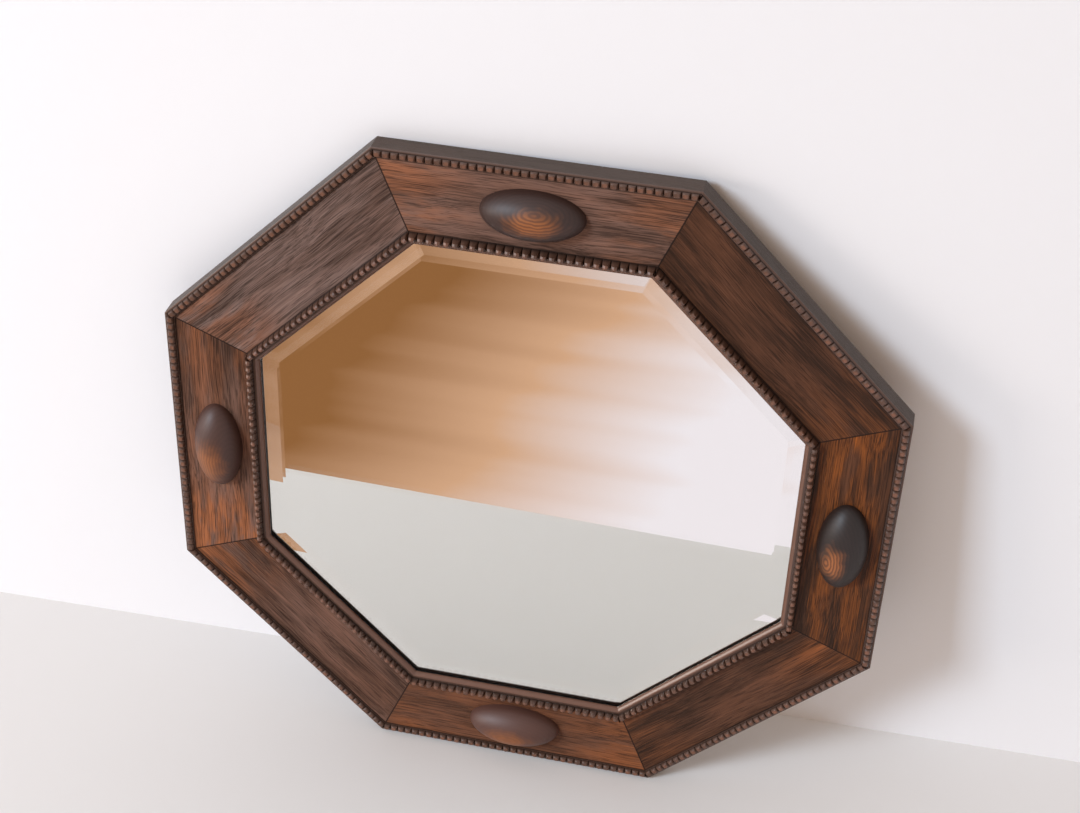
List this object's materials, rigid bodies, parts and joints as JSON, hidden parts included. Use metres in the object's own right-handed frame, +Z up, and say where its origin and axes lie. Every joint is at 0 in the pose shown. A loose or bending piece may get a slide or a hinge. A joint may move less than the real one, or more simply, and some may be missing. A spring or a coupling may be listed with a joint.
{
  "type": "wall mirror",
  "caption": "Octagonal dark oak wall mirror with mitred rails, beaded mouldings, turned half-egg bosses, a bevelled plate and a wire hanging ring on its back.",
  "frame": {"origin": "middle of the backboard's back, which is flush with the back of the rails", "axes": "+X to the right of a viewer in front of the mirror, +Y from the front to the wall, +Z up"},
  "size_m": [0.53, 0.0375, 0.53],
  "materials": {
    "dark_oak": "worn satin",
    "turned_oak": "satin",
    "silvered_glass": "polished",
    "thin_board": "raw",
    "pine": "raw",
    "beech": "raw",
    "steel": "dull",
    "brass": "tarnished"
  },
  "bodies": {
    "frame": {"rail_top": "dark_oak", "rail_upper_right": "dark_oak", "rail_right": "dark_oak", "rail_lower_right": "dark_oak", "rail_bottom": "dark_oak", "rail_lower_left": "dark_oak", "rail_left": "dark_oak", "rail_upper_left": "dark_oak", "outer_bead_top": "dark_oak", "outer_bead_upper_right": "dark_oak", "outer_bead_right": "dark_oak", "outer_bead_lower_right": "dark_oak", "outer_bead_bottom": "dark_oak", "outer_bead_lower_left": "dark_oak", "outer_bead_left": "dark_oak", "outer_bead_upper_left": "dark_oak", "inner_bead_top": "dark_oak", "inner_bead_upper_right": "dark_oak", "inner_bead_right": "dark_oak", "inner_bead_lower_right": "dark_oak", "inner_bead_bottom": "dark_oak", "inner_bead_lower_left": "dark_oak", "inner_bead_left": "dark_oak", "inner_bead_upper_left": "dark_oak", "turned_bosses": "turned_oak", "mirror_glass": "silvered_glass", "glazing_blocks": "pine", "backboard": "thin_board", "backboard_brads": "steel", "mitre_splines": "beech", "hanger_strap": "brass", "hanger_screws": "steel"},
    "ring": {"hanging_ring": "brass"}
  },
  "joints": [
    {"name": "ring_hinge", "type": "hinge", "parent": "frame", "child": "ring", "pos_m": [0, 0.0021, 0.2478], "axis": [1, 0, 0], "range_deg": [0, 173]}
  ]
}
